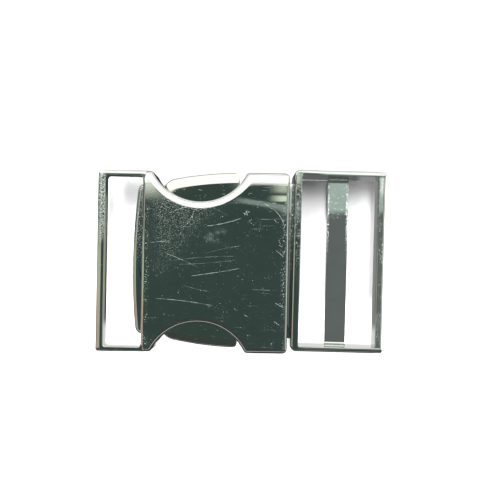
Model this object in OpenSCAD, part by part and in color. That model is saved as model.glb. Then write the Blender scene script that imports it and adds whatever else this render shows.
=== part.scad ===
// Side release buckle for 38 mm webbing, cast in plated zinc.
// The housing with its strap loop lies on the left (-X), the plug with its frame on the right (+X).
// Two latch wings swing on pins inside the housing and show in its finger windows.
// The back of the housing lies on z = 0, and the origin is under the middle of the closed buckle.

/* [Webbing] */
// Width of the webbing that the buckle takes
webbing_w = 38; // [32:0.5:50]
// Extra width of the strap loop's opening over the webbing
loop_play = 0.9; // [0.4:0.1:1.5]
// Extra width of the plug frame's opening over the webbing
frame_play = 0.9; // [0.4:0.1:1.5]

/* [Housing] */
// Thickness of the housing, from back to front
housing_t = 9; // [8.6:0.1:11]
// Thickness of the front plate and of the back plate
plate_t = 1.8; // [1.4:0.1:1.9]
// Length of the housing's side between a window and the strap slot
tip_len = 1.5; // [0.5:0.1:6]
// Thickness of the side walls beside the mouth
side_wall = 2; // [1.6:0.1:2.3]
// Radius of the body's corners at the mouth
mouth_corner_r = 1.1; // [0.5:0.1:2]

/* [Strap loop] */
// Length of the slot for the webbing
loop_slot = 8.8; // [7.5:0.1:14]
// Thickness of the loop's end rail
loop_end_t = 1.4; // [1:0.1:2.5]
// Thickness of the loop's side rails
loop_side_t = 1.2; // [1:0.1:2]
// Height of the loop's rails, measured down from the front face
loop_h = 3; // [2.4:0.1:6]
// Radius of the loop's outer corners
loop_outer_r = 0.5; // [0.2:0.1:1]
// Radius of the slot's corners
loop_inner_r = 0.7; // [0.2:0.1:1.5]

/* [Finger windows] */
// Radius of the arc that each window cuts into the housing's side
window_r = 12; // [11.3:0.1:12.8]
// Depth of each window, measured in from the housing's side
window_depth = 6.8; // [6.2:0.1:7.5]
// Distance from the mouth to the middle of the windows
window_from_mouth = 20.4; // [19:0.1:22]
// Radius that blends each end of a window into the housing's side
window_blend_r = 1; // [0.3:0.1:1.2]

/* [Plug frame] */
// Gap between the housing's mouth and the plug's frame
mouth_gap = 0.9; // [0.4:0.1:2]
// Length of the frame
frame_len = 20.7; // [19:0.1:26]
// Thickness of the frame's side rails
frame_side_t = 1.2; // [1:0.1:2]
// Thickness of the rail next to the housing
near_rail_t = 1.6; // [1.2:0.1:2.5]
// Thickness of the rail at the far end
far_rail_t = 1.4; // [1:0.1:2]
// Height of the rail at the far end
far_rail_h = 3.8; // [3:0.1:5]
// How far the far rail's top lies below the side rails
far_rail_drop = 0.5; // [0:0.1:1]
// Distance from the frame's start to the strap bar
bar_from = 8.6; // [7:0.1:9.2]
// Width of the strap bar
bar_w = 4.8; // [4:0.1:6]
// Thickness of the strap bar
bar_t = 1.5; // [1.2:0.1:2.2]
// Radius of the frame's corners next to the housing
frame_near_r = 1.3; // [0.5:0.1:2]
// Radius of the frame's corners at the far end
frame_far_r = 0.5; // [0.2:0.1:0.9]

/* [Plug inside the housing] */
// How far the plug lies to one side within its play
plug_shift = 0.6; // [0:0.1:0.6]
// Clearance between the plug and the housing's side walls
plug_side_gap = 0.8; // [0.7:0.1:1.2]
// Clearance of the plug and the wings under the housing's plates
plug_face_gap = 0.3; // [0.2:0.05:0.5]
// Length of the neck that guides the plug in the mouth
neck_len = 8; // [6:0.1:8.5]
// Thickness of the nose plate
nose_t = 1.5; // [1.2:0.1:1.8]
// How far the nose reaches out of the housing into the strap slot
nose_reach = 2.9; // [2:0.1:3.4]
// Radius of the nose's curved front
nose_curve_r = 150; // [100:5:300]
// Radius of the nose's corners
nose_corner_r = 1.8; // [1:0.1:2.5]
// Length of the wide head of the nose plate
nose_head_len = 5.6; // [5:0.1:6]

/* [Latch wings] */
// How far a wing's shoulder lies inside the line of the housing's side
wing_inset = 0.4; // [0.2:0.05:0.6]
// Gap between a wing's shoulder and the wall that it locks against
shoulder_gap = 0.65; // [0.5:0.05:1]
// Radius of the shoulder's corner
shoulder_r = 1.2; // [0.6:0.1:1.6]
// Width of a wing at its shoulder
wing_w = 10; // [9:0.1:10.5]
// Radius of a wing's long curved side
wing_curve_r = 80; // [60:5:150]
// Radius of a wing's rounded nose
wing_nose_r = 3.7; // [3.4:0.1:4]
// Distance from the window's middle back to the centre of the wing's nose
wing_nose_back = 5.2; // [4.8:0.1:5.6]
// Distance from the housing's side in to the centre of the wing's nose
wing_nose_in = 5.6; // [5.3:0.1:6]
// Angle that a wing can be pressed in
press_angle = 10; // [9:0.5:11]
// Clearance left between a pressed wing and the stem that stops it
stop_gap = 0.35; // [0.3:0.05:0.6]

/* [Wing pivots] */
// Distance from the centre of the wing's nose in to the pivot
pivot_in = 1.6; // [1.4:0.1:1.7]
// Radius of a pivot pin
pin_r = 1.1; // [0.9:0.05:1.2]
// Clearance round a pin in a wing
pin_run_gap = 0.05; // [0.03:0.01:0.1]
// Clearance round a pin in the nose plate
pin_seat_gap = 0.02; // [0.01:0.01:0.03]
// How far a pin's top lies below the wing's top
pin_sink = 0.1; // [0:0.05:0.3]
// Metal left round a pin's hole in the nose plate
pin_wall = 1; // [0.8:0.1:1.2]
// Gap between a wing and the nose plate that it lies on
lap_gap = 0.15; // [0.1:0.05:0.3]
// Distance from the pivot to the step where a wing becomes full height
lap_len = 3.9; // [3.6:0.1:4.4]
// Room between the end of the nose plate and that step
lap_room = 1.1; // [0.9:0.1:1.5]

/* [Hidden] */
$fn = 96;
// Facets of the large circles
big_fn = 1440;
// Overlap that joins two bodies of one casting
join = 0.3;
// Overlap of a window's arc and the circles that blend it, so that they cross in clear points
blend_overlap = 0.001;
// How far a cut runs past the surface that it opens
past = 1;

// Widths across the strap, measured from each half's own middle
housing_half = (webbing_w + loop_play) / 2 + loop_side_t;
frame_half = (webbing_w + frame_play) / 2 + frame_side_t;
cavity_half = housing_half - side_wall;
plug_half = cavity_half - plug_side_gap;

// The windows: the circles that blend the two ends of each arc, measured from the arc's middle
window_y = housing_half - window_depth + window_r;
blend_y = housing_half - window_blend_r;
blend_dx = sqrt(pow(window_r + window_blend_r - blend_overlap, 2) - pow(window_y - blend_y, 2));

// Places along the buckle, from the end of the loop to the end of the frame
body_len = tip_len + blend_dx + window_from_mouth;
total_len = loop_end_t + loop_slot + body_len + mouth_gap + frame_len;
loop_x = -total_len / 2;
slot_x = loop_x + loop_end_t;
body_x = slot_x + loop_slot;
mouth_x = body_x + body_len;
frame_x = mouth_x + mouth_gap;
end_x = frame_x + frame_len;
bar_x = frame_x + bar_from;
neck_x = mouth_x - neck_len;
window_x = mouth_x - window_from_mouth;

// The middle lines of the two halves, with the whole buckle centred on y = 0
side_max = max(housing_half, frame_half + plug_shift);
side_min = -max(housing_half, frame_half - plug_shift);
housing_y = -(side_max + side_min) / 2;
plug_y = housing_y + plug_shift;

// Levels, from the back of the housing up
cavity_z0 = plate_t;
cavity_z1 = housing_t - plate_t;
plug_z0 = cavity_z0 + plug_face_gap;
plug_z1 = cavity_z1 - plug_face_gap;
nose_z1 = plug_z0 + nose_t;
lap_z = nose_z1 + lap_gap;
frame_z0 = plug_z0;
frame_h = housing_t - frame_z0;

// The wings: nose, shoulder and pivot of the upper one, measured from the plug's middle line
wing_nose = [window_x - wing_nose_back, housing_half - wing_nose_in];
wall_end_x = window_x + sqrt(pow(window_r, 2) - pow(window_y - cavity_half, 2));
shoulder_x = wall_end_x - shoulder_gap;
shoulder_top = [shoulder_x - shoulder_r, housing_half - wing_inset];
wing_inner_y = shoulder_top[1] - wing_w;
pivot = [wing_nose[0], wing_nose[1] - pivot_in];

// Centre of the wing's long curve: it touches the nose circle and passes through the shoulder's top
nose_to_top = norm(shoulder_top - wing_nose);
nose_to_curve = wing_curve_r - wing_nose_r;
curve_turn = acos((pow(nose_to_top, 2) + pow(nose_to_curve, 2) - pow(wing_curve_r, 2))
                  / (2 * nose_to_top * nose_to_curve));
top_dir = atan2(shoulder_top[1] - wing_nose[1], shoulder_top[0] - wing_nose[0]);
curve_dir = top_dir - curve_turn;
curve_mid = wing_nose + nose_to_curve * [cos(curve_dir), sin(curve_dir)];
shoulder_mid_y = curve_mid[1]
    + sqrt(pow(wing_curve_r - shoulder_r, 2) - pow(shoulder_top[0] - curve_mid[0], 2));

// Half width of the stem: it stops the wing's inner corner when the wing is pressed in
inner_corner = [shoulder_x, wing_inner_y] - pivot;
stem_half = pivot[1]
    + norm(inner_corner) * sin(atan2(inner_corner[1], inner_corner[0]) - press_angle) - stop_gap;

// The nose plate: front, corner circles and the arm that holds the pins
nose_x = body_x - nose_reach;
nose_mid_x = nose_x + nose_curve_r;
nose_corner_y = plug_half - nose_corner_r;
nose_corner_x = nose_mid_x - sqrt(pow(nose_curve_r - nose_corner_r, 2) - pow(nose_corner_y, 2));
head_x = nose_x + nose_head_len;
arm_half = pivot[1] + pin_r + pin_wall;
lap_x = pivot[0] + lap_len;
arm_x = lap_x - lap_room;

// A rectangle from a to b, with its corners rounded by r_left on the left and r_right on the right
module rounded_box(a, b, r_left, r_right) {
    for (x = [a[0] + r_left], y = [a[1] + r_left, b[1] - r_left])
        translate([x, y]) circle(r = r_left);
    for (x = [b[0] - r_right], y = [a[1] + r_right, b[1] - r_right])
        translate([x, y]) circle(r = r_right);
    translate([a[0] + r_left, a[1]])
        square([b[0] - a[0] - r_left - r_right, b[1] - a[1]]);
    translate([a[0], a[1] + r_left])
        square([r_left + join, b[1] - a[1] - 2 * r_left]);
    translate([b[0] - r_right - join, a[1] + r_right])
        square([r_right + join, b[1] - a[1] - 2 * r_right]);
}

// The area that one finger window removes, on the side of +Y
module window_area() {
    translate([window_x, window_y]) circle(r = window_r);
    difference() {
        polygon([[window_x, window_y],
                 [window_x + blend_dx, blend_y],
                 [window_x + blend_dx, window_y + past],
                 [window_x - blend_dx, window_y + past],
                 [window_x - blend_dx, blend_y]]);
        for (side = [-1, 1])
            translate([window_x + side * blend_dx, blend_y]) circle(r = window_blend_r);
    }
}

module housing_area() {
    difference() {
        translate([body_x, -housing_half])
            square([body_len - mouth_corner_r, 2 * housing_half]);
        for (side = [0, 1])
            mirror([0, side]) window_area();
    }
    rounded_box([mouth_x - 2 * mouth_corner_r - join, -housing_half], [mouth_x, housing_half],
                mouth_corner_r, mouth_corner_r);
}

// Plates, side walls and posts in one casting, open from the mouth to the strap slot
module housing_body() {
    difference() {
        linear_extrude(housing_t) housing_area();
        translate([body_x - past, -cavity_half, cavity_z0])
            cube([body_len + 2 * past, 2 * cavity_half, cavity_z1 - cavity_z0]);
    }
}

module strap_loop() {
    translate([0, 0, housing_t - loop_h]) linear_extrude(loop_h) difference() {
        rounded_box([loop_x, -housing_half], [body_x + join, housing_half], loop_outer_r, 0.1);
        rounded_box([slot_x, loop_side_t - housing_half],
                    [body_x, housing_half - loop_side_t], loop_inner_r, loop_inner_r);
    }
}

module housing() {
    color("silver") translate([0, housing_y]) {
        housing_body();
        strap_loop();
    }
}

// The frame's rails and strap bar: its top is flush with the housing, its underside with the neck
module frame_rails() {
    inner_half = frame_half - frame_side_t;
    translate([0, 0, frame_z0]) {
        linear_extrude(frame_h) difference() {
            rounded_box([frame_x, -frame_half], [end_x, frame_half], frame_near_r, frame_far_r);
            translate([frame_x + near_rail_t, -inner_half])
                square([frame_len, 2 * inner_half]);
        }
        translate([end_x - far_rail_t, -inner_half - join, frame_h - far_rail_drop - far_rail_h])
            cube([far_rail_t, 2 * (inner_half + join), far_rail_h]);
        translate([bar_x, -inner_half - join, 0])
            cube([bar_w, 2 * (inner_half + join), bar_t]);
    }
}

// The neck in the mouth, and the stem that runs from it to the nose plate
module neck_and_stem() {
    translate([neck_x, -plug_half, plug_z0])
        cube([frame_x + join - neck_x, 2 * plug_half, plug_z1 - plug_z0]);
    translate([head_x, -stem_half, plug_z0])
        cube([neck_x + join - head_x, 2 * stem_half, plug_z1 - plug_z0]);
}

module nose_area() {
    corner = [nose_corner_x, nose_corner_y];
    away = (corner - [nose_mid_x, 0]) / norm(corner - [nose_mid_x, 0]);
    intersection() {
        translate([nose_mid_x, 0]) circle(r = nose_curve_r, $fn = big_fn);
        union() {
            polygon([corner,
                     corner + (nose_corner_r + past) * away,
                     [corner[0] + (nose_corner_r + past) * away[0],
                      -corner[1] - (nose_corner_r + past) * away[1]],
                     [corner[0], -corner[1]]]);
            for (side = [-1, 1])
                translate([nose_corner_x, side * nose_corner_y]) circle(r = nose_corner_r);
            translate([nose_corner_x, -plug_half])
                square([head_x - nose_corner_x, 2 * plug_half]);
            translate([head_x - join, -arm_half])
                square([arm_x - head_x + join, 2 * arm_half]);
        }
    }
}

module nose_plate() {
    translate([0, 0, plug_z0]) difference() {
        linear_extrude(nose_t) nose_area();
        for (side = [-1, 1])
            translate([pivot[0], side * pivot[1], -past])
                cylinder(h = nose_t + 2 * past, r = pin_r + pin_seat_gap);
    }
}

module plug() {
    color("silver") translate([0, plug_y]) {
        frame_rails();
        neck_and_stem();
        nose_plate();
    }
}

// Outline of the upper wing: round nose, long outer curve and rounded shoulder
module wing_area() {
    outward = (wing_nose - curve_mid) / norm(wing_nose - curve_mid);
    intersection() {
        translate(curve_mid) circle(r = wing_curve_r, $fn = big_fn);
        union() {
            translate(wing_nose) circle(r = wing_nose_r);
            translate([shoulder_top[0], shoulder_mid_y]) circle(r = shoulder_r);
            polygon([wing_nose,
                     wing_nose + (wing_nose_r + past) * outward,
                     [shoulder_top[0], shoulder_top[1] + past],
                     [shoulder_top[0], shoulder_mid_y],
                     [shoulder_x, shoulder_mid_y],
                     [shoulder_x, wing_inner_y],
                     [wing_nose[0], wing_nose[1] - wing_nose_r]]);
        }
    }
}

// A wing: full height at the shoulder, and half height where it lies on the nose plate
module wing() {
    difference() {
        translate([0, 0, plug_z0]) linear_extrude(plug_z1 - plug_z0) wing_area();
        translate([wing_nose[0] - wing_nose_r - past, wing_inner_y - past, plug_z0 - past])
            cube([lap_x - wing_nose[0] + wing_nose_r + past, wing_w + 2 * past,
                  lap_z - plug_z0 + past]);
        translate([pivot[0], pivot[1], plug_z0 - past])
            cylinder(h = plug_z1 - plug_z0 + 2 * past, r = pin_r + pin_run_gap);
    }
}

module wing_upper() {
    color("gainsboro") translate([0, plug_y]) wing();
}

module wing_lower() {
    color("gainsboro") translate([0, plug_y]) mirror([0, 1]) wing();
}

// A pivot pin stands in the nose plate; side is 1 for the upper wing and -1 for the lower one
module pivot_pin(side) {
    color("darkgray") translate([pivot[0], plug_y + side * pivot[1], plug_z0])
        cylinder(h = plug_z1 - pin_sink - plug_z0, r = pin_r);
}

module pivot_pin_upper() {
    pivot_pin(1);
}

module pivot_pin_lower() {
    pivot_pin(-1);
}

housing();
plug();
wing_upper();
wing_lower();
pivot_pin_upper();
pivot_pin_lower();
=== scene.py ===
# %% [markdown]
# # A side release buckle for 38 mm webbing
# The buckle lies closed on its back. A housing with a strap loop is on the left, a plug with a
# strap frame on the right, and the two latch wings show in the housing's finger windows. It is cast
# in zinc and plated to a mirror, so its look comes from three things: the exact roundness of its
# edges, the room that it mirrors, and the wear on its face. This file works through them in turn.
#
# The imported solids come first. They say where every piece lies, and nothing here moves them.

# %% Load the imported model
import math

import bmesh
import bpy
import numpy as np
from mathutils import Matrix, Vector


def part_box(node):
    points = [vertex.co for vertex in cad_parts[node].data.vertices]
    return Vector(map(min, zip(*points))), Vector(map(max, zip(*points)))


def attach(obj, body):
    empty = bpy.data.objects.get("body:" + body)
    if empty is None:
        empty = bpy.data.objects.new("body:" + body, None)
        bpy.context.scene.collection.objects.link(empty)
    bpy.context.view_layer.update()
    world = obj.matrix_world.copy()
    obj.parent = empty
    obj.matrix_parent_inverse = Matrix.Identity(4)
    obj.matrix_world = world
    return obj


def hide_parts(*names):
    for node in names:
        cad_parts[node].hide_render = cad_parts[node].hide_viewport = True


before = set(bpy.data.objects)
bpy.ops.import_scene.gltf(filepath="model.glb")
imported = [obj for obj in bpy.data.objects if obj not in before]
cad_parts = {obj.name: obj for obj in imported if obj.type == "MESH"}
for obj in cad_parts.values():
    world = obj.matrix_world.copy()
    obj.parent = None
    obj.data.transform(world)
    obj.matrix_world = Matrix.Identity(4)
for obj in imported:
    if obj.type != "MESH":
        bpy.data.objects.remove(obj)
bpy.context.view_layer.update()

MM = 0.001

# %% [markdown]
# ## The places that everything is built from
# The two castings' boxes give the places along and across the strap. A few sizes of the sections,
# such as the rails' widths, are the caster's own and are stated once here, in millimetres. All
# shapes below are worked out in millimetres and turned into metres when the mesh is made.

# %% Places from the frame
def corners_mm(name):
    """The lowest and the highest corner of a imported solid, in millimetres."""
    return [np.array(corner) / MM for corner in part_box(name)]


housing_low, housing_high = corners_mm("housing")
plug_low, plug_high = corners_mm("plug")
wing_high = corners_mm("wing_upper")[1]
pin_low, pin_high = corners_mm("pivot_pin_upper")

LOOP_X, MOUTH_X = housing_low[0], housing_high[0]
FRONT_Z = housing_high[2]
HOUSING_Y = (housing_low[1] + housing_high[1]) / 2
HOUSING_HALF = (housing_high[1] - housing_low[1]) / 2
NOSE_X, END_X = plug_low[0], plug_high[0]
PLUG_Y = (plug_low[1] + plug_high[1]) / 2
FRAME_HALF = (plug_high[1] - plug_low[1]) / 2
PLUG_Z0 = plug_low[2]
WING_Z1 = wing_high[2]
SHOULDER_X = wing_high[0]
PIVOT = (pin_low[:2] + pin_high[:2]) / 2 - (0, PLUG_Y)

PLATE_T = 1.8
SIDE_WALL = 2.0
MOUTH_GAP = 0.9
RAIL_T = 1.2
LOOP_END_T = 1.4
LOOP_SLOT = 8.8
BODY_X = LOOP_X + LOOP_END_T + LOOP_SLOT
FRAME_X = MOUTH_X + MOUTH_GAP
CAVITY_HALF = HOUSING_HALF - SIDE_WALL
print(f"housing {2 * HOUSING_HALF:.1f} mm wide, body from {BODY_X:.2f} to {MOUTH_X:.2f},",
      f"frame from {FRAME_X:.2f} to {END_X:.2f}")

# %% [markdown]
# ## The camera
# The photograph looks straight down from about 12 cm. From so near, the inner walls of the frame
# and the loop show, so the distance matters as much as the framing. The lens is fixed by how large
# the buckle appears; the small turn and shift are those of a hand-held camera.

# %% Camera
PICTURE = 500
PIXELS_PER_MM = 4.418
SHIFT_PIXELS = (9, 16)
CAMERA_ABOVE = 120.0
CAMERA_ASIDE = (0.20, -1.01)
CAMERA_TURN = 1.04
FOCAL_PIXELS = PIXELS_PER_MM * CAMERA_ABOVE
SENSOR = 36.0


def placed(name, data):
    """A new object with this data, in the scene."""
    made = bpy.data.objects.new(name, data)
    bpy.context.scene.collection.objects.link(made)
    return made


camera_data = bpy.data.cameras.new("camera")
camera_data.sensor_width = SENSOR
camera_data.lens = SENSOR * FOCAL_PIXELS / PICTURE
camera_data.shift_x = SHIFT_PIXELS[0] / PICTURE
camera_data.shift_y = SHIFT_PIXELS[1] / PICTURE
camera_data.clip_start = 0.01
camera = placed("camera", camera_data)
camera.location = np.array([*CAMERA_ASIDE, FRONT_Z + CAMERA_ABOVE]) * MM
camera.rotation_euler = (0, 0, math.radians(CAMERA_TURN))
bpy.context.scene.camera = camera
print(f"lens {camera_data.lens:.1f} mm, {CAMERA_ABOVE:.0f} mm above the face")

# %% [markdown]
# ## Surfaces as arrays
# Every piece is a closed shell: a grid of points worked out as one array, and the quads between
# them. A mirror shows each facet, so the grids are fine where a surface turns and coarse where it
# is flat. A shell that came out inside out has a negative volume, and its quads are turned round.

# %% Shells
def grid_quads(rows, columns, wrap=False):
    """Quads between the points of a grid; wrap joins the last column to the first."""
    i, j = np.meshgrid(np.arange(rows - 1), np.arange(columns if wrap else columns - 1),
                       indexing="ij")
    k = (j + 1) % columns
    quads = np.stack([i * columns + j, i * columns + k,
                      (i + 1) * columns + k, (i + 1) * columns + j], -1)
    return quads.reshape(-1, 4)


def face_outwards(points, quads):
    """Turns the quads round if the sum of the signed volumes under them is negative."""
    a, b, c, d = (points[quads[:, n]] for n in range(4))
    volume = (a * np.cross(b, c)).sum() + (a * np.cross(c, d)).sum()
    return quads[:, ::-1] if volume < 0 else quads


def pillow(x, y, top, bottom):
    """A closed shell over a plan grid: the same points at two heights, joined round the rim."""
    rows, columns = x.shape
    upper = np.stack([x, y, top], -1).reshape(-1, 3)
    lower = np.stack([x, y, bottom], -1).reshape(-1, 3)
    number = np.arange(rows * columns).reshape(rows, columns)
    rim = np.concatenate([number[0, :-1], number[:-1, -1], number[-1, :0:-1], number[:0:-1, 0]])
    wall = np.stack([rim, np.roll(rim, -1), np.roll(rim, -1) + number.size, rim + number.size], -1)
    quads = grid_quads(rows, columns)
    quads = np.concatenate([quads, quads[:, ::-1] + number.size, wall[:, ::-1]])
    points = np.concatenate([upper, lower])
    return points, face_outwards(points, quads)


# %% Shells along a path
def tube(rings, ends):
    """A closed shell round a row of rings, drawn together in one point at each end."""
    rows, columns = rings.shape[:2]
    first, last = (np.broadcast_to(end, (1, columns, 3)) for end in ends)
    points = np.concatenate([first, rings, last]).reshape(-1, 3)
    return points, face_outwards(points, grid_quads(rows + 2, columns, wrap=True))


def rail(outer, inner, across, up, inset=0.0):
    """A closed section carried along two lines: across goes from 0 on the outer line to 1 on the
    inner one, for all stations alike or for each, up is the height, and inset draws a station's
    section in towards its middle."""
    width = np.linalg.norm(outer - inner, axis=1)[:, None]
    inset = np.broadcast_to(inset, len(outer))[:, None]
    t = inset / width + np.atleast_2d(across) * (1 - 2 * inset / width)
    low, high = up.min(), up.max()
    z = low + inset + (up[None, :] - low) * (1 - 2 * inset / (high - low))
    plan = outer[:, None, :] * (1 - t[..., None]) + inner[:, None, :] * t[..., None]
    rings = np.concatenate([plan, z[..., None]], -1)
    return tube(rings, (rings[0].mean(0), rings[-1].mean(0)))


# %% [markdown]
# ## Sections and edges
# A cast and tumbled part has no sharp edge. A quarter of an ellipse or of a circle rounds the edges
# here: its width is how far the rounding reaches in over the face, and its depth how far it drops.
# On a mirror the two read at once, as the width of the bright band and the place of the thin line
# where the horizon is mirrored.

# %% Rounded sections
def quarter(steps):
    """Angles from 0 to a right angle, in even steps."""
    return np.linspace(0, math.pi / 2, steps)


def edge_drop(distance, reach, depth):
    """How far an edge's rounding lies below the face, at a distance from the outline."""
    share = 1 - np.clip(distance / reach, 0, 1)
    return depth * (1 - np.sqrt(1 - share ** 2))


def rail_section(width, low, high, outer_r, inner_r, foot_r, steps=9, rim=0.12):
    """Section of a rail: up the outer side, over two rounded edges and the flat between them, down
    the inner side. Two lines a rim inside the flat keep it flat where the edges are uneven."""
    turn = quarter(steps)
    sin, cos = np.sin(turn), np.cos(turn)
    flat = np.array([outer_r + rim, width - inner_r - rim])
    x = np.concatenate([foot_r * (1 - sin), outer_r * (1 - cos), flat, width - inner_r * (1 - sin),
                        width - foot_r * (1 - cos)])
    z = np.concatenate([low + foot_r * (1 - cos), high - outer_r * (1 - sin), [high, high],
                        high - inner_r * (1 - cos), low + foot_r * (1 - sin)])
    return x / width, z


# %% Lines with rounded corners
def corner_path(corners, radii, straight=24, turn=12):
    """A line through corner points, each rounded by its radius, with the same number of points on
    every straight and every turn, so that two such lines can carry one section."""
    line = []
    corners = np.array(corners, float)
    start = corners[0]
    for before, corner, after, radius in zip(corners, corners[1:], corners[2:], radii):
        back = (before - corner) / np.linalg.norm(before - corner)
        on = (after - corner) / np.linalg.norm(after - corner)
        middle = corner + radius * (back + on)
        first, last = corner + radius * back, corner + radius * on
        share = np.linspace(0, 1, straight, endpoint=False)[:, None]
        line.append(start * (1 - share) + first * share)
        angle = np.linspace(0, math.pi / 2, turn)[:, None]
        line.append(middle - radius * on * np.cos(angle) - radius * back * np.sin(angle))
        start = last
    share = np.linspace(0, 1, straight)[1:, None]
    line.append(start * (1 - share) + corners[-1] * share)
    return np.concatenate(line)


# %% [markdown]
# ## The housing's outline
# Seen from above, the housing's half width is one function of the place along the strap: straight
# sides, a round finger window cut into each, a small radius where they meet, and a rounded corner at
# the mouth. The distance to that outline decides how far the edge's rounding has dropped, so one
# formula shapes the whole face.

# %% Half width and distance to the edge
WINDOW_R = 12.0
WINDOW_DEEP = 6.8
WINDOW_X = MOUTH_X - 20.4
WINDOW_Y = HOUSING_HALF - WINDOW_DEEP + WINDOW_R
BLEND_R = 1.0
BLEND_Y = HOUSING_HALF - BLEND_R
BLEND_DX = math.sqrt((WINDOW_R + BLEND_R) ** 2 - (WINDOW_Y - BLEND_Y) ** 2)
TOUCH_DX = BLEND_DX * WINDOW_R / (WINDOW_R + BLEND_R)
CORNER_R = 1.1
CORNER_X = MOUTH_X - CORNER_R
HALF_TURN_X = CORNER_X + CORNER_R * math.sin(math.pi / 4)
HALF_TURN_Y = HOUSING_HALF - CORNER_R * (1 - math.cos(math.pi / 4))


def half_width(x):
    """Half width at x: the window's circle in the middle, small circles beside it, the straight
    side further out, and the corner's circle at the mouth."""
    off = np.abs(x - WINDOW_X)
    window = WINDOW_Y - np.sqrt(np.clip(WINDOW_R ** 2 - off ** 2, 0, None))
    blend = BLEND_Y + np.sqrt(np.clip(BLEND_R ** 2 - (off - BLEND_DX) ** 2, 0, None))
    corner = HOUSING_HALF - CORNER_R + np.sqrt(np.clip(CORNER_R ** 2 - (x - CORNER_X) ** 2, 0, None))
    half = np.where(off < TOUCH_DX, window, np.where(off < BLEND_DX, blend, HOUSING_HALF))
    return np.where(x > CORNER_X, corner, half)


def side_distance(x, y):
    """Distance to the sides and windows, where y is measured from the middle line."""
    off, y = np.abs(x - WINDOW_X), np.abs(y)
    distance = np.minimum(HOUSING_HALF - y, np.hypot(off, y - WINDOW_Y) - WINDOW_R)
    to_window = np.array([-BLEND_DX, WINDOW_Y - BLEND_Y]) / (WINDOW_R + BLEND_R)
    along = (off - BLEND_DX) / to_window[0]
    above = y - BLEND_Y - along * to_window[1]
    blend = BLEND_R - np.hypot(off - BLEND_DX, y - BLEND_Y)
    distance = np.where((along > 0) & (above > 0), blend, distance)
    return np.clip(distance, 0, None)


print(f"half width {HOUSING_HALF:.1f} mm, {half_width(np.array(WINDOW_X)):.1f} mm in the window")

# %% [markdown]
# ## The front plate
# The face is flat in the middle and crowned towards its long sides, where the polisher's wheel took
# a little more. The windows' edges are broad and soft, the mouth's edge is small and crisp. A grid
# that follows the outline carries these heights, with its lines crowded towards the edges.

# %% Grid over the housing
CORNER_BEND = 5.0


def crowd(count, edge, length, middle):
    """Shares from 0 to 1, fine within `edge` of both ends and `middle` steps between."""
    near = edge / length * (1 - np.cos(quarter(count)))
    inner = np.linspace(near[-1], 1 - near[-1], middle + 1)[1:-1]
    return np.concatenate([near, inner, 1 - near[::-1]])


def housing_grid(columns_x, shares):
    """Plan points of the housing, row by row along x: the last rows bend into the mouth's corner."""
    x, v = np.meshgrid(columns_x, shares, indexing="ij")
    y = (2 * v - 1) * half_width(x)
    at_mouth = np.abs((2 * v - 1) * HALF_TURN_Y)
    reach = np.clip(at_mouth - (HOUSING_HALF - CORNER_R), 0, None)
    mouth = CORNER_X + np.sqrt(CORNER_R ** 2 - reach ** 2)
    pull = np.clip((x - (HALF_TURN_X - CORNER_BEND)) / CORNER_BEND, 0, 1)
    return x + pull * (mouth - HALF_TURN_X), y


# %% Height of the face
FACE_EDGE = 0.6
MOUTH_EDGE = 0.65
SIDE_REACH = 1.5
SIDE_DEPTH = 1.25
WINDOW_REACH_MORE = 0.35
WINDOW_ZONE = (1.25, 0.95)
CROWN_FROM = 12.5
CROWN_SLOPE = 0.085


def soft_step(low, high, value):
    """0 below low, 1 above high, and smooth between; low may be the larger one."""
    t = np.clip((value - low) / (high - low), 0, 1)
    return t * t * (3 - 2 * t)


def rim_distance(x, y, elsewhere):
    """Distance to the round of the mouth's corners inside their squares, else the one given."""
    in_corner = (x > CORNER_X) & (np.abs(y) > HOUSING_HALF - CORNER_R)
    corner = CORNER_R - np.hypot(x - CORNER_X, np.abs(y) - HOUSING_HALF + CORNER_R)
    return np.clip(np.where(in_corner, corner, elsewhere), 0, None)


def face_height(x, y):
    """Height of the front face: the crown's parabola and the drop of the nearest edge."""
    side = side_distance(x, y)
    mouth, back = np.clip(MOUTH_X - x, 0, None), np.clip(x - BODY_X, 0, None)
    nearest = rim_distance(x, y, np.minimum(np.minimum(side, mouth), back))
    at_window = soft_step(*WINDOW_ZONE, np.abs(x - WINDOW_X) / WINDOW_R)
    at_mouth = soft_step(0, 1, side / (side + mouth + 1e-6))
    at_back = soft_step(0, 1, side / (side + back + 1e-6))
    reach = SIDE_REACH + WINDOW_REACH_MORE * at_window
    depth = np.full_like(x, SIDE_DEPTH)
    for near, edge in ((at_mouth, MOUTH_EDGE), (at_back, FACE_EDGE)):
        reach = reach + (edge - reach) * near
        depth = depth + (edge - depth) * near
    over = np.clip(np.abs(y) - CROWN_FROM, 0, None)
    crown = CROWN_SLOPE / (2 * (HOUSING_HALF - CROWN_FROM)) * over ** 2
    return FRONT_Z - crown - edge_drop(nearest, reach, depth)


# %% The front plate
def along_housing(fine, coarse):
    """Places along x, close together at both ends, in the small radii and in the corner."""
    tips = [WINDOW_X - BLEND_DX, WINDOW_X - TOUCH_DX, WINDOW_X + TOUCH_DX, WINDOW_X + BLEND_DX]
    parts = [
        BODY_X + FACE_EDGE * (1 - np.cos(quarter(fine))),
        np.linspace(BODY_X + FACE_EDGE, tips[0], coarse // 10 + 2)[1:],
        np.linspace(tips[0], tips[1], fine)[1:],
        WINDOW_X + TOUCH_DX * np.sin(np.linspace(-math.pi / 2, math.pi / 2, coarse))[1:],
        np.linspace(tips[2], tips[3], fine)[1:],
        np.linspace(tips[3], CORNER_X, coarse // 4)[1:],
        CORNER_X + CORNER_R * np.sin(np.linspace(0, math.pi / 4, fine))[1:],
    ]
    return np.concatenate(parts)


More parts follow.
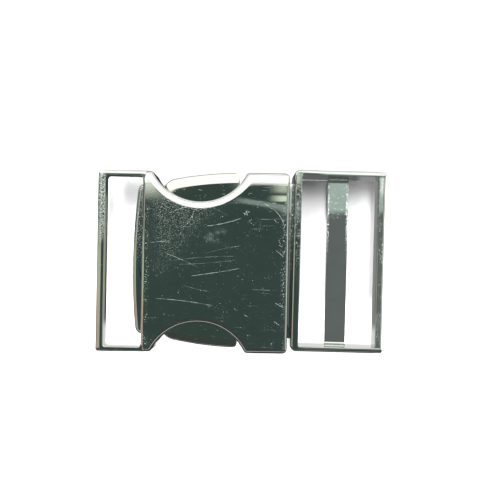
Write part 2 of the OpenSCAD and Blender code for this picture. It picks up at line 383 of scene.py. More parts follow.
front_x, front_y = housing_grid(along_housing(12, 110), crowd(15, 2.2, 2 * HOUSING_HALF, 70))
front_plate = pillow(front_x, front_y + HOUSING_Y, face_height(front_x, front_y),
                     np.full_like(front_x, FRONT_Z - PLATE_T))
print("front plate:", front_x.shape, "grid")

# %% [markdown]
# ## The back plate, the walls beside the mouth and the corner posts
# The back plate has the same outline and a plain rounding underneath. Four short walls join the
# plates: they are drawn between the outline and the cavity's straight side.

# %% Back plate and walls
BACK_EDGE = 0.8
THINNEST_WALL = 0.01


def back_height(x, y):
    """Height of the underside: it lies on z = 0 and rises with the rounding of the nearest edge."""
    to_ends = np.minimum(MOUTH_X - x, x - BODY_X)
    nearest = rim_distance(x, y, np.minimum(side_distance(x, y), to_ends))
    return edge_drop(nearest, BACK_EDGE, BACK_EDGE)


back_x, back_y = housing_grid(along_housing(8, 60), crowd(9, 1.0, 2 * HOUSING_HALF, 30))
back_plate = pillow(back_x, back_y + HOUSING_Y, np.full_like(back_x, PLATE_T),
                    back_height(back_x, back_y))


def wall(x, side):
    """A wall between the plates, from the cavity's side out to the housing's outline."""
    outer = np.stack([x, side * np.maximum(half_width(x), CAVITY_HALF + THINNEST_WALL)], -1)
    inner = np.stack([x, np.full_like(x, side * CAVITY_HALF)], -1)
    levels = np.array([0.0, 0.0, 1.0, 1.0])
    heights = np.array([PLATE_T, FRONT_Z - PLATE_T, FRONT_Z - PLATE_T, PLATE_T])
    middle = np.array([0, HOUSING_Y])
    return rail(outer + middle, inner + middle, levels, heights)


WALL_END = math.sqrt(WINDOW_R ** 2 - (WINDOW_Y - CAVITY_HALF) ** 2)
mouth_wall_x = np.concatenate([np.linspace(WINDOW_X + WALL_END, CORNER_X, 60),
                               CORNER_X + CORNER_R * np.sin(quarter(12))[1:]])
post_x = np.linspace(BODY_X, WINDOW_X - WALL_END, 50)
walls = [wall(x, side) for x in (mouth_wall_x, post_x) for side in (1, -1)]
print("walls:", len(walls))

# %% [markdown]
# ## The strap loop
# The loop is one thin rail bent round three sides of the slot, with a broad round on its outer edge.
# Its section is carried along two lines at once, the outer outline and the slot's outline, so the
# rail can be a little thicker at the end than at the sides. It runs into the body, where the slot's
# last corners are rounded too. The end of the photographed casting is a little fuller than the
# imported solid's, by what END_OUT and END_IN say.

# %% Strap loop
LOOP_H = 3.0
LOOP_OUTER_R = 0.5
LOOP_INNER_R = 0.7
LOOP_TOP = FRONT_Z - 0.2
END_OUT = 0.15
END_IN = 0.3
ROOT_X = BODY_X + 0.9
ROOT_STUB = 0.3
ROOT_R = 0.2
SLOT_STUB = 1.1


def round_the_slot(root_x, end_x, half, stub, radii):
    """A line from a short stub at the upper root, round the loop's end, to the lower root."""
    upper = [(root_x, half - stub), (root_x, half), (end_x, half)]
    lower = [(x, -y) for x, y in reversed(upper)]
    return corner_path(upper + lower, radii)


loop_outer = round_the_slot(ROOT_X, LOOP_X - END_OUT, HOUSING_HALF, ROOT_STUB,
                            [ROOT_R, LOOP_OUTER_R, LOOP_OUTER_R, ROOT_R])
loop_inner = round_the_slot(BODY_X, LOOP_X + LOOP_END_T + END_IN, HOUSING_HALF - RAIL_T, SLOT_STUB,
                            [LOOP_INNER_R] * 4)
loop_section = rail_section(RAIL_T, FRONT_Z - LOOP_H, LOOP_TOP, outer_r=0.8, inner_r=0.2,
                            foot_r=0.15, steps=14, rim=0.06)
strap_loop = rail(loop_outer + (0, HOUSING_Y), loop_inner + (0, HOUSING_Y), *loop_section)
print("strap loop:", len(loop_outer), "stations")

# %% [markdown]
# ## The plug: frame, bar, neck, stem and nose
# The frame's near rail and side rails are one bent rail with rounded free ends. The far rail is
# lower and butts between them. The strap bar lies deep in the frame, its ends run up into the rails
# in a small radius, and its long edges are a little ragged from casting. The plug has some play in
# the housing, so the whole frame is turned and moved by a hair, as the photograph shows it.

# %% The frame's sizes and its play
FRAME_TURN = math.radians(-0.45)
FRAME_ASIDE = 0.15
FRAME_END = END_X + 0.2
FRAME_OUTER_R = 1.3
FRAME_INNER_R = 0.35
FRAME_EDGES = {"inner_r": 0.16, "foot_r": 0.2, "steps": 14, "rim": 0.05}
NEAR_T = 1.75
FAR_T = 1.7
FAR_H = 3.8
FAR_DROP = 0.5
FAR_Z0 = FRONT_Z - FAR_DROP - FAR_H
FAR_INTO = 0.25
FAR_INSIDE = 0.02
END_R = 0.45
frame_inner_half = FRAME_HALF - RAIL_T


def turned(shell, about=FRAME_X, aside=FRAME_ASIDE):
    """The shell turned a little about a point on the middle line and moved a little aside, as the
    plug lies in its play."""
    points, quads = shell
    across, up = points[:, 0] - about, points[:, 1] - PLUG_Y
    cos, sin = math.cos(FRAME_TURN), math.sin(FRAME_TURN)
    return np.stack([about + cos * across - sin * up, PLUG_Y + aside + sin * across + cos * up,
                     points[:, 2]], -1), quads


# %% The bent rail
def frame_line(left, half, radius):
    """One side of the bent rail, from the upper free end round the near rail to the lower one."""
    return corner_path([(FRAME_END - END_R, half), (left, half), (left, -half),
                        (FRAME_END - END_R, -half)], [radius, radius], straight=30)


def with_round_ends(outer, inner):
    """Adds stations beyond both ends, where the section is drawn in by a quarter circle."""
    turn = quarter(7)[1:-1]
    out, draw = END_R * np.sin(turn), END_R * (1 - np.cos(turn))
    step = np.stack([out, 0 * out], -1)
    inset = np.concatenate([draw[::-1], np.zeros(len(outer)), draw])
    lines = [np.concatenate([line[0] + step[::-1], line, line[-1] + step])
             for line in (outer, inner)]
    return lines[0], lines[1], inset


bent_outer, bent_inner, bent_inset = with_round_ends(
    frame_line(FRAME_X, FRAME_HALF, FRAME_OUTER_R),
    frame_line(FRAME_X + NEAR_T, frame_inner_half, FRAME_INNER_R))
frame_section = rail_section(RAIL_T, PLUG_Z0, FRONT_Z, outer_r=0.92, **FRAME_EDGES)
near_section = rail_section(NEAR_T, PLUG_Z0, FRONT_Z, outer_r=0.5, **FRAME_EDGES)
bent_width = np.linalg.norm(bent_outer - bent_inner, axis=1)[:, None]
is_near = np.clip((bent_width - RAIL_T) / (NEAR_T - RAIL_T), 0, 1)
bent_across = frame_section[0] * (1 - is_near) + near_section[0] * is_near
bent_rail = rail(bent_outer + (0, PLUG_Y), bent_inner + (0, PLUG_Y), bent_across,
                 frame_section[1], inset=bent_inset)
print("bent rail:", len(bent_outer), "stations")

# %% The far rail
far_y = np.linspace(frame_inner_half + FAR_INTO, -frame_inner_half - FAR_INTO, 40) + PLUG_Y
far_section = rail_section(FAR_T, FAR_Z0, FRONT_Z - FAR_DROP, outer_r=0.6, inner_r=0.2, foot_r=0.3,
                           steps=12)
far_rail = rail(np.stack([np.full_like(far_y, FRAME_END - FAR_INSIDE), far_y], -1),
                np.stack([np.full_like(far_y, FRAME_END - FAR_T), far_y], -1), *far_section)
print("far rail:", len(far_y), "stations")

# %% Strap bar
BAR_X = FRAME_X + 8.5
BAR_W = 4.85
BAR_T = 1.5
BAR_END_R = 0.6
BAR_INTO = 0.3
BAR_UNEVEN = 0.03


def ragged(y, phase):
    """Small uneven waves along a cast edge, strongest in the bar's upper half."""
    wave = (np.sin(5.1 * y + phase) + np.sin(8.3 * y + 2.2 * phase)
            + 0.7 * np.sin(13.7 * y + 4.1 * phase))
    return BAR_UNEVEN * wave * soft_step(-9, 4, y)


bar_half = frame_inner_half + BAR_INTO
bar_end = (BAR_END_R + BAR_INTO) * np.sin(quarter(10))
bar_even = bar_half - BAR_END_R - BAR_INTO - 0.01
bar_y = np.concatenate([bar_half - bar_end, np.linspace(bar_even, -bar_even, 220),
                        bar_end[::-1] - bar_half])
bar_across, bar_up = rail_section(BAR_W, PLUG_Z0, PLUG_Z0 + BAR_T, outer_r=0.1, inner_r=0.1,
                                  foot_r=0.9)
bar_left = np.stack([BAR_X + ragged(bar_y, 1.0), bar_y + PLUG_Y], -1)
bar_right = np.stack([BAR_X + BAR_W + ragged(bar_y, 3.0), bar_y + PLUG_Y], -1)
strap_bar = rail(bar_left, bar_right, bar_across, bar_up)
bar_points = strap_bar[0]
wall_gap = np.clip(frame_inner_half - np.abs(bar_points[:, 1] - PLUG_Y), 0, BAR_END_R)
rise = BAR_END_R - np.sqrt(BAR_END_R ** 2 - (BAR_END_R - wall_gap) ** 2)
bar_points[:, 2] += rise * (bar_points[:, 2] > PLUG_Z0 + BAR_T / 2)
bent_rail, far_rail, strap_bar = turned(bent_rail), turned(far_rail), turned(strap_bar)
print("strap bar:", len(bar_y), "stations")

# %% [markdown]
# ## Flat plates with rounded rims
# The neck, the stem and the nose plate are plates with a plan outline and rounded edges. The outline
# is drawn in step by step while it rises, then closed by a flat face. The nose's front is slightly
# bowed, and its corners are rounded.

# %% Rounded plates
def rounded_plate(outline, low, high, top_r, foot_r, steps=8):
    """A closed shell: the outline drawn in along its normals by a quarter circle at both levels."""
    ahead, behind = np.roll(outline, -1, 0), np.roll(outline, 1, 0)
    along = (ahead - behind) / np.linalg.norm(ahead - behind, axis=1)[:, None]
    inward = np.stack([-along[:, 1], along[:, 0]], -1)
    area = (outline[:, 0] * ahead[:, 1] - outline[:, 1] * ahead[:, 0]).sum()
    inward = inward * np.sign(area)
    turn = quarter(steps)
    draw = np.concatenate([foot_r * (1 - np.sin(turn)), top_r * (1 - np.cos(turn))])
    z = np.concatenate([low + foot_r * (1 - np.cos(turn)), high - top_r * (1 - np.sin(turn))])
    plan = outline[None] + draw[:, None, None] * inward[None]
    height = np.broadcast_to(z[:, None, None], plan.shape[:2] + (1,))
    middle = outline.mean(0)
    return tube(np.concatenate([plan, height], -1), ([*middle, low], [*middle, high]))


def box_outline(x0, x1, half, radius, turn=6):
    """A rectangle's outline with rounded corners, anticlockwise, centred on the plug's middle."""
    corners = [(x1, -half), (x1, half), (x0, half), (x0, -half)]
    line = []
    for n, corner in enumerate(corners):
        centre = np.array(corner) + radius * np.array([[-1, 1], [-1, -1], [1, -1], [1, 1]][n])
        angle = np.linspace(0, math.pi / 2, turn) + (n - 1) * math.pi / 2
        line.append(centre + radius * np.stack([np.cos(angle), np.sin(angle)], -1))
    return np.concatenate(line) + (0, PLUG_Y)


# %% Neck and stem
NECK_X = MOUTH_X - 8.0
NECK_HALF = CAVITY_HALF - 0.8
NECK_INTO = 0.3
STEM_HALF = 7.5
STEM_INTO = 0.4
HEAD_X = NOSE_X + 5.6

neck = rounded_plate(box_outline(NECK_X, FRAME_X + NECK_INTO, NECK_HALF, radius=0.3),
                     PLUG_Z0, WING_Z1, top_r=0.35, foot_r=0.3)
stem = rounded_plate(box_outline(HEAD_X - STEM_INTO, NECK_X + STEM_INTO, STEM_HALF, radius=0.2),
                     PLUG_Z0, WING_Z1, top_r=0.15, foot_r=0.15)
print(f"stem from {HEAD_X:.2f} to {NECK_X:.2f}, neck to {FRAME_X:.2f} mm")

# %% Nose plate and arms
NOSE_T = 1.5
NOSE_OUT = 0.3
NOSE_BOW = 150.0
NOSE_CORNER_R = 1.8
ARM_X = PIVOT[0] + 2.8
ARM_HALF = PIVOT[1] + 2.1
ARM_INTO = 0.5
ARM_INSIDE = 0.01


def nose_outline():
    """The nose from its upper inner corner round the bowed front to the lower one."""
    corner_y = NECK_HALF - NOSE_CORNER_R
    centre_x = NOSE_X - NOSE_OUT + NOSE_BOW
    corner_x = centre_x - math.sqrt((NOSE_BOW - NOSE_CORNER_R) ** 2 - corner_y ** 2)
    lean = math.asin(corner_y / (NOSE_BOW - NOSE_CORNER_R))
    turn = np.linspace(math.pi / 2, math.pi - lean, 14)
    upper = np.stack([corner_x + NOSE_CORNER_R * np.cos(turn),
                      corner_y + NOSE_CORNER_R * np.sin(turn)], -1)
    sweep = np.linspace(lean, -lean, 60)[1:-1]
    front = np.stack([centre_x - NOSE_BOW * np.cos(sweep), NOSE_BOW * np.sin(sweep)], -1)
    head = np.stack([np.linspace(HEAD_X, corner_x, 8)[:-1], np.full(7, NECK_HALF)], -1)
    half = np.concatenate([head, upper])
    return np.concatenate([half, front, half[::-1] * (1, -1)]) + (0, PLUG_Y)


nose = rounded_plate(nose_outline(), PLUG_Z0, PLUG_Z0 + NOSE_T, top_r=1.0, foot_r=0.4, steps=14)
nose = turned(nose, about=NOSE_X, aside=0)
arms = rounded_plate(box_outline(HEAD_X - ARM_INTO, ARM_X, ARM_HALF, radius=0.4),
                     PLUG_Z0 + ARM_INSIDE, PLUG_Z0 + NOSE_T - ARM_INSIDE, top_r=0.15, foot_r=0.15)
print("nose front at x =", round(float(nose[0][:, 0].min()), 2), "mm")

# %% [markdown]
# ## The latch wings
# Each wing is a lever with a round nose, a long curved outer side and a square shoulder. The outer
# edge is rounded far more than anything else on the buckle, so that it is pleasant to press: the
# rounding reaches 2.7 mm in. As on the housing, the height comes from the distance to the outline.

# %% Circles of the wing's outline
WING_NOSE_R = 3.7
WING_CURVE_R = 80.0
SHOULDER_R = 1.2
WING_W = 10.0
WING_NOSE_ASIDE = 1.6
SHOULDER_IN = 0.4
LAP_GAP = 0.15
LAP_STEP = 0.01
wing_nose = np.array([PIVOT[0], PIVOT[1] + WING_NOSE_ASIDE])
shoulder_top = np.array([SHOULDER_X - SHOULDER_R, HOUSING_HALF - SHOULDER_IN])
nose_to_top = np.linalg.norm(shoulder_top - wing_nose)
nose_to_curve = WING_CURVE_R - WING_NOSE_R
curve_turn = math.acos((nose_to_top ** 2 + nose_to_curve ** 2 - WING_CURVE_R ** 2)
                       / (2 * nose_to_top * nose_to_curve))
top_turn = math.atan2(*(shoulder_top - wing_nose)[::-1])
curve_mid = wing_nose + nose_to_curve * np.array([math.cos(top_turn - curve_turn),
                                                  math.sin(top_turn - curve_turn)])
TANGENT_X = wing_nose[0] + WING_NOSE_R * (wing_nose[0] - curve_mid[0]) / nose_to_curve
shoulder_mid_y = curve_mid[1] + math.sqrt((WING_CURVE_R - SHOULDER_R) ** 2
                                          - (shoulder_top[0] - curve_mid[0]) ** 2)
WING_INNER = shoulder_top[1] - WING_W
LAP_X = PIVOT[0] + 3.9
LAP_Z = PLUG_Z0 + NOSE_T + LAP_GAP
shoulder_45_x = shoulder_top[0] + SHOULDER_R * math.sin(math.pi / 4)
print(f"wing {SHOULDER_X - wing_nose[0] + WING_NOSE_R:.1f} mm long, {WING_W} mm wide")


# %% Sides of the wing
def wing_outer(x):
    """Outer side of the wing at x: nose circle, long curve, shoulder circle."""
    nose = wing_nose[1] + np.sqrt(np.clip(WING_NOSE_R ** 2 - (x - wing_nose[0]) ** 2, 0, None))
    curve = curve_mid[1] + np.sqrt(WING_CURVE_R ** 2 - (x - curve_mid[0]) ** 2)
    turn = shoulder_mid_y + np.sqrt(np.clip(SHOULDER_R ** 2 - (x - shoulder_top[0]) ** 2, 0, None))
    return np.where(x < TANGENT_X, nose, np.where(x < shoulder_top[0], curve, turn))


def wing_inner(x):
    """Inner side of the wing at x: nose circle, then a straight line to the inner corner."""
    nose = wing_nose[1] - np.sqrt(np.clip(WING_NOSE_R ** 2 - (x - wing_nose[0]) ** 2, 0, None))
    share = (x - wing_nose[0]) / (SHOULDER_X - wing_nose[0])
    low_y = wing_nose[1] - WING_NOSE_R
    return np.where(x < wing_nose[0], nose, low_y + (WING_INNER - low_y) * share)


# %% Heights of the wing
WING_REACH = 2.7
WING_SLOPE = 0.62
WING_EDGE = 0.35
WING_CRISP = 0.3
WING_FOOT_R = 0.4
INNER_SKIP = 0.02


def wing_roll(outer):
    """How far the wing's wide rounding has dropped: a parabola that ends in a small round edge."""
    over = np.clip(WING_REACH - outer, 0, None)
    return WING_SLOPE / (2 * WING_REACH) * over ** 2 + edge_drop(outer, WING_EDGE, WING_EDGE)


def wing_distance(x, y):
    """Distance to the wing's outer side, and to the end of its shoulder."""
    curve = WING_CURVE_R - np.hypot(x - curve_mid[0], y - curve_mid[1])
    nose = WING_NOSE_R - np.hypot(x - wing_nose[0], y - wing_nose[1])
    before = (x - wing_nose[0]) * (wing_nose[1] - curve_mid[1]) < \
        (y - wing_nose[1]) * (wing_nose[0] - curve_mid[0])
    outer = np.where(before, nose, curve)
    corner = SHOULDER_R - np.hypot(x - shoulder_top[0], y - shoulder_mid_y)
    turning = (x > shoulder_top[0]) & (y > shoulder_mid_y)
    end = SHOULDER_X - x
    return np.clip(outer, 0, None), np.clip(end, 0, None), np.clip(corner, 0, None), turning


def wing_heights(x, y):
    """Top and underside of the wing: the wide outer rounding, a crisp edge at the shoulder's end
    and the inner side, and the step where the wing lies on the nose plate."""
    outer, end, corner, turning = wing_distance(x, y)
    inner = np.clip(y - wing_inner(x), 0, None)
    crisp = np.minimum(np.where(turning, corner, end), inner + INNER_SKIP)
    drop = np.maximum(wing_roll(outer), edge_drop(crisp, WING_CRISP, WING_CRISP))
    foot = np.where(x < LAP_X, LAP_Z, PLUG_Z0)
    nearest = np.minimum(outer, crisp)
    return WING_Z1 - drop, foot + edge_drop(nearest, WING_FOOT_R, WING_FOOT_R)


# %% Wing shells
FINE_W = 3.2
END_BEND = 3.0

wing_columns = np.concatenate([
    wing_nose[0] - WING_NOSE_R * np.cos(quarter(26)),
    np.linspace(wing_nose[0], LAP_X - LAP_STEP, 26)[1:],
    np.linspace(LAP_X + LAP_STEP, shoulder_top[0] - END_BEND, 40),
    np.linspace(shoulder_top[0] - END_BEND, shoulder_top[0], 30)[1:],
    shoulder_top[0] + SHOULDER_R * np.sin(np.linspace(0, math.pi / 4, 14))[1:]])
wing_shares = 1 - np.concatenate([FINE_W / WING_W * (1 - np.cos(quarter(24))),
                                  np.linspace(FINE_W / WING_W, 1, 24)[1:]])
wing_x, wing_v = np.meshgrid(wing_columns, wing_shares, indexing="ij")
wing_y = wing_inner(wing_x) + (wing_outer(wing_x) - wing_inner(wing_x)) * wing_v
end_y = WING_INNER + (wing_outer(np.array(shoulder_45_x)) - WING_INNER) * wing_v
end_reach = np.clip(end_y - shoulder_mid_y, 0, None)
end_x = shoulder_top[0] + np.sqrt(SHOULDER_R ** 2 - np.minimum(end_reach, SHOULDER_R) ** 2)
wing_pull = np.clip((wing_x - (shoulder_45_x - END_BEND)) / END_BEND, 0, 1)
wing_x = wing_x + wing_pull * (end_x - shoulder_45_x)
wing_top, wing_foot = wing_heights(wing_x, wing_y)
upper_wing = pillow(wing_x, wing_y + PLUG_Y, wing_top, wing_foot)
lower_wing = pillow(wing_x, PLUG_Y - wing_y, wing_top, wing_foot)
print("wing:", wing_x.shape, "grid, long curve's centre", curve_mid.round(2))

# %% [markdown]
# ## From shells to pieces
# One piece is one mesh, made of one or more closed shells, as one casting is one body of metal.
# Points that fall together, at the ends of rails and the middles of caps, are merged so that no
# empty quad is left. Edges sharper than 40 degrees stay crisp, and all others shade smoothly.

# %% Meshes
def make_piece(name, shells, body, solid, material):
    """A mesh object at the origin from closed shells in millimetres, riding on a CAD body and
    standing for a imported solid."""
    starts = np.cumsum([0] + [len(points) for points, _ in shells[:-1]])
    points = np.concatenate([points for points, _ in shells]) * MM
    quads = np.concatenate([quads + start for (_, quads), start in zip(shells, starts)])
    mesh = bpy.data.meshes.new(name)
    mesh.from_pydata(points.tolist(), [], quads.tolist())
    work = bmesh.new()
    work.from_mesh(mesh)
    bmesh.ops.remove_doubles(work, verts=work.verts, dist=1e-7)
    bmesh.ops.dissolve_degenerate(work, dist=1e-8, edges=work.edges)
    work.to_mesh(mesh)
    work.free()
    mesh.polygons.foreach_set("use_smooth", np.ones(len(mesh.polygons), bool))
    mesh.set_sharp_from_angle(angle=math.radians(40))
    mesh.materials.append(material)
    piece = placed(name, mesh)
    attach(piece, body)
    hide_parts(solid)
    mesh.calc_loop_triangles()
    print(name, "has", len(mesh.loop_triangles), "triangles")


# %% [markdown]
# ## Shader maths
# A value that varies over a surface is the output of a node. The class below wraps such an output
# and gives it Python's operators, so a pattern can be written as one expression.

# %% Fields over a surface
class Field:
    """The output of a node in a tree, with Python's arithmetic."""

    def __init__(self, tree, socket):
        self.tree = tree
        self.socket = socket

    def math(self, operation, *values):
        """A Math node of this operation on this value and the others."""
        return node(self.tree, "ShaderNodeMath", {"operation": operation},
                    dict(enumerate((self,) + values)))

    def __add__(self, other):
        return self.math("ADD", other)

    def __sub__(self, other):
        return self.math("SUBTRACT", other)

    def __rsub__(self, other):
        return (self * -1) + other

    def __mul__(self, other):
        return self.math("MULTIPLY", other)

    def __truediv__(self, other):
        return self.math("DIVIDE", other)

    def __abs__(self):
        return self.math("ABSOLUTE")

    __radd__ = __add__
    __rmul__ = __mul__

    def max(self, other):
        return self.math("MAXIMUM", other)

    def step(self, low, high):
        """0 below low, 1 above high, smooth between; low may be the larger one."""
        return node(self.tree, "ShaderNodeMapRange", {"interpolation_type": "SMOOTHSTEP"},
                    {"Value": self, "From Min": low, "From Max": high})


# %% Nodes and materials
def node(tree, kind, settings=None, inputs=None, output=0):
    """Adds a node: its settings first, then the values or links of its sockets, and returns the
    wanted output as a Field. The node that ends a tree has no output."""
    made = tree.nodes.new(kind)
    for key, value in (settings or {}).items():
        setattr(made, key, value)
    for key, value in (inputs or {}).items():
        if isinstance(value, Field):
            tree.links.new(value.socket, made.inputs[key])
        else:
            made.inputs[key].default_value = value
    return Field(tree, made.outputs[output]) if made.outputs else None


def mix(tree, share, first, second):
    """A colour mixed from two, by a share from 0 to 1."""
    return node(tree, "ShaderNodeMix", {"data_type": "RGBA"}, {0: share, 6: first, 7: second}, 2)


def rgb(red, green, blue):
    """A colour as nodes take it, with full alpha."""
    return (red, green, blue, 1)


def new_material(name):
    """An empty node material: the material and its tree."""
    material = bpy.data.materials.new(name)
    material.use_nodes = True
    material.node_tree.nodes.clear()
    return material, material.node_tree


def end_material(tree, shader):
    """Links the shader to the material's output."""
    node(tree, "ShaderNodeOutputMaterial", None, {"Surface": shader})


def parts_of(tree, vector):
    """The three numbers of a vector."""
    made = node(tree, "ShaderNodeSeparateXYZ", None, {0: vector})
    sockets = made.socket.node.outputs
    return [Field(tree, sockets[n]) for n in range(3)]


# %% [markdown]
# ## The room that the mirror sees
# A mirror has no look of its own. The photograph's face is dark because it mirrors the dark ceiling
# and camera straight above; its upper edges are white because a bright window wall lies behind the
# far side. The room here is a world shader: a colour for each direction, put together from a few
# soft-edged regions. The camera itself sees plain white paper behind the floor.

# %% The world
world = bpy.data.worlds.new("studio")
world.use_nodes = True
world.cycles_visibility.diffuse = False
bpy.context.scene.world = world
room = world.node_tree
room.nodes.clear()
direction = node(room, "ShaderNodeTexCoord")
east, north, high = parts_of(room, direction)

# %% Masks in the room
def between(low, low_full, high_full, high, value):
    """1 from low_full to high_full, falling to 0 at low and high."""
    return value.step(low, low_full) * value.step(high, high_full)


band = north + east * 0.5
to_west = east.step(-0.34, -0.46)
to_south = north.step(-0.4, -0.55)
on_housing = between(0.045, 0.078, 0.100, 0.115, east)
grey_band = between(0.133, 0.148, 0.163, 0.178, band) * between(-0.03, 0.01, 0.100, 0.115, east)
pale_patch = between(0.148, 0.160, 0.184, 0.198, north) * on_housing
glow_east = north.step(0.196, 0.226) * on_housing
glow_west = north.step(0.12, 0.27) * east.step(-0.10, -0.17)
low_south = to_south * high.step(0.02, 0.06) * high.step(0.22, 0.13)
horizon = high.step(0.13, 0.085) * north.step(0.2, 0.4)
over_bar = between(0.140, 0.155, 0.30, 0.36, east) * between(0.100, 0.104, 0.24, 0.26, north)
over_end = between(0.245, 0.255, 0.30, 0.33, east) * north.step(0.125, 0.145)
from_camera = node(room, "ShaderNodeLightPath")
from_paper = node(room, "ShaderNodeLightPath", None, None, "Diffuse Depth").step(0, 1)

# %% [markdown]
# The colours are laid over the dark ceiling one after another, so a later row covers the earlier
# ones. The west wall is a small stack of its own: pale green in the middle, darker to the north and
# pinkish to the south. The last two rows are for the camera, which sees white paper to the horizon,
# and for the paper, which only the suns and lamps may light.

# %% Room colours
upper_west = mix(room, east.step(-0.72, -0.82), rgb(0.50, 0.52, 0.45), rgb(0.12, 0.13, 0.11))
west = mix(room, north.step(0.01, 0.10), rgb(0.62, 0.66, 0.47), upper_west)
west = mix(room, north.step(-0.02, -0.11), west, rgb(0.66, 0.52, 0.43))

LAYERS = [
    ("dim east of the ceiling", east.step(0.105, 0.125), rgb(0.18, 0.20, 0.195)),
    ("grey band", grey_band, rgb(0.33, 0.41, 0.36)),
    ("pale patch", pale_patch, rgb(0.95, 1.08, 0.84)),
    ("glow in the east", glow_east, rgb(0.66, 0.72, 0.56)),
    ("glow in the west", glow_west, rgb(1.05, 1.10, 0.92)),
    ("dark east", east.step(0.27, 0.33), rgb(0.13, 0.145, 0.135)),
    ("east wall", east.step(0.55, 0.75), rgb(0.80, 0.84, 0.78)),
    ("west wall", to_west, west),
    ("dark south-west", to_west * north.step(-0.20, -0.44), rgb(0.075, 0.075, 0.07)),
    ("south wall", to_south, rgb(0.064, 0.078, 0.069)),
    ("foot of the south wall", low_south, rgb(0.95, 0.98, 0.96)),
    ("window wall", north.step(0.25, 0.28), rgb(1.75, 1.75, 1.68)),
    ("sill under the window", horizon, rgb(0.04, 0.045, 0.04)),
    ("shelf over the bar", over_bar, rgb(0.56, 0.68, 0.62)),
    ("lamp over the far rail", over_end, rgb(1.4, 1.4, 1.35)),
    ("paper for the camera", from_camera, rgb(1.0, 1.0, 1.0)),
    ("nothing for the paper", from_paper, rgb(0.0, 0.0, 0.0)),
]
colour = rgb(0.057, 0.088, 0.080)
for _, mask, shade in LAYERS:
    colour = mix(room, mask, colour, shade)
background = node(room, "ShaderNodeBackground", None, {"Color": colour, "Strength": 1.0})
node(room, "ShaderNodeOutputWorld", None, {"Surface": background})
print("room:", ", ".join(name for name, _, _ in LAYERS))

# %% [markdown]
# ## Light and paper
# Soft suns light the white paper and nothing else: metal only mirrors, so they are hidden from
# reflections. Four high ones, one above another, come from the window side and lay the soft shadows
# inside the slots. Two low ones graze the paper from the near side and clear the shadow beyond the
# buckle, but the frame's rails keep them out of the slots. A photographer's flag, a dark card that
# neither camera nor mirror sees, stops the light that would slip in under the frame's far side. Two
# small lamps clear the shadows right under the bar and the far rail, where the photograph shows
# bright paper.

# %% Suns
WINDOW_SUNS = {80: 0.75, 69: 1.1, 58: 1.2, 46: 1.3}
WINDOW_SPREAD = 13
GRAZING_AZIMUTHS = (181, 187)
GRAZING_STRENGTH = 11.0
GRAZING_ELEVATION = 11
GRAZING_SPREAD = 4


def soft_sun(name, strength, azimuth, elevation, spread):
    """A sun that shines from an azimuth (0 is +Y, 90 is +X) and elevation, as wide as spread."""
    data = bpy.data.lights.new(name, "SUN")
    data.energy = strength
    data.angle = math.radians(spread)
    sun = placed(name, data)
    sun.rotation_euler = (math.radians(elevation - 90), 0, math.radians(-azimuth))
    sun.visible_glossy = False


for elevation, strength in WINDOW_SUNS.items():
    soft_sun(f"window_light_{elevation}", strength, 0, elevation, WINDOW_SPREAD)
for azimuth in GRAZING_AZIMUTHS:
    soft_sun(f"grazing_light_{azimuth}", GRAZING_STRENGTH, azimuth, GRAZING_ELEVATION, GRAZING_SPREAD)
print(len(bpy.data.lights), "suns")

# %% Lamps under the bar and the far rail
LAMP_CLEAR = 0.1
LAMP_Y0 = -20


def panel(name, x0, x1, y0, y1, height, radiance):
    """A small flat lamp that faces down on the paper, below a part of the frame."""
    data = bpy.data.lights.new(name, "AREA")
    data.shape = "RECTANGLE"
    data.size, data.size_y = (x1 - x0) * MM, (y1 - y0) * MM
    data.energy = radiance * math.pi * data.size * data.size_y
    lamp = placed(name, data)
    lamp.location = ((x0 + x1) / 2 * MM, (y0 + y1) / 2 * MM, height * MM)
    lamp.visible_glossy = False
    lamp.visible_camera = False


panel("lamp_under_bar", BAR_X - LAMP_CLEAR, BAR_X + BAR_W + LAMP_CLEAR, LAMP_Y0, 11,
      PLUG_Z0 - LAMP_CLEAR, radiance=1.6)
panel("lamp_under_far_rail", END_X - FAR_T, END_X, LAMP_Y0, 16, FAR_Z0 - LAMP_CLEAR, radiance=4.5)
print(len(bpy.data.lights), "lights")

# %% The flag
def stage_sheet(name, corners, material):
    """A flat sheet between four corners in millimetres, which isn't part of the buckle."""
    mesh = bpy.data.meshes.new(name)
    mesh.from_pydata((np.array(corners) * MM).tolist(), [], [(0, 1, 2, 3)])
    mesh.materials.append(material)
    made = placed(name, mesh)
    return made


FLAG_X0, FLAG_X1 = FRAME_X + 1, END_X + 0.4
FLAG_Y = PLUG_Y + FRAME_HALF - 0.8
FLAG_Z0, FLAG_Z1 = 0.05, PLUG_Z0 - 0.05

cloth, threads = new_material("dark_cloth")
end_material(threads, node(threads, "ShaderNodeBsdfDiffuse", None, {"Color": rgb(0.25, 0.25, 0.25)}))
flag = stage_sheet("flag", [(FLAG_X0, FLAG_Y, FLAG_Z0), (FLAG_X1, FLAG_Y, FLAG_Z0),
                            (FLAG_X1, FLAG_Y, FLAG_Z1), (FLAG_X0, FLAG_Y, FLAG_Z1)], cloth)
flag.visible_camera = False
flag.visible_glossy = False
print(f"flag from {FLAG_X0:.1f} to {FLAG_X1:.1f} mm")

# %% [markdown]
# The paper shows white to the camera. To the mirrors it is not lit by the lamps but glows with
# painted light and shade, in soft regions placed by the paper's own millimetres: painted shadow
# close round the buckle and painted glow further out, painted reflections of the walls' colours
# past its ends, and painted shade inside the slots, where the inner walls of the rails face it.

# %% Painted light and shade on the paper, for the mirrors
paper, sheet = new_material("white_paper")
place = node(sheet, "ShaderNodeTexCoord", None, None, 3)
grain = node(sheet, "ShaderNodeTexNoise", None, {"Vector": place, "Scale": 900.0, "Detail": 3.0})
east_of, north_of, _ = (part / MM for part in parts_of(sheet, place))
outside = (abs(east_of) - END_X).max(abs(north_of) - HOUSING_HALF).step(-0.4, 0.3)
beside = abs(north_of).step(HOUSING_HALF + 1, HOUSING_HALF)
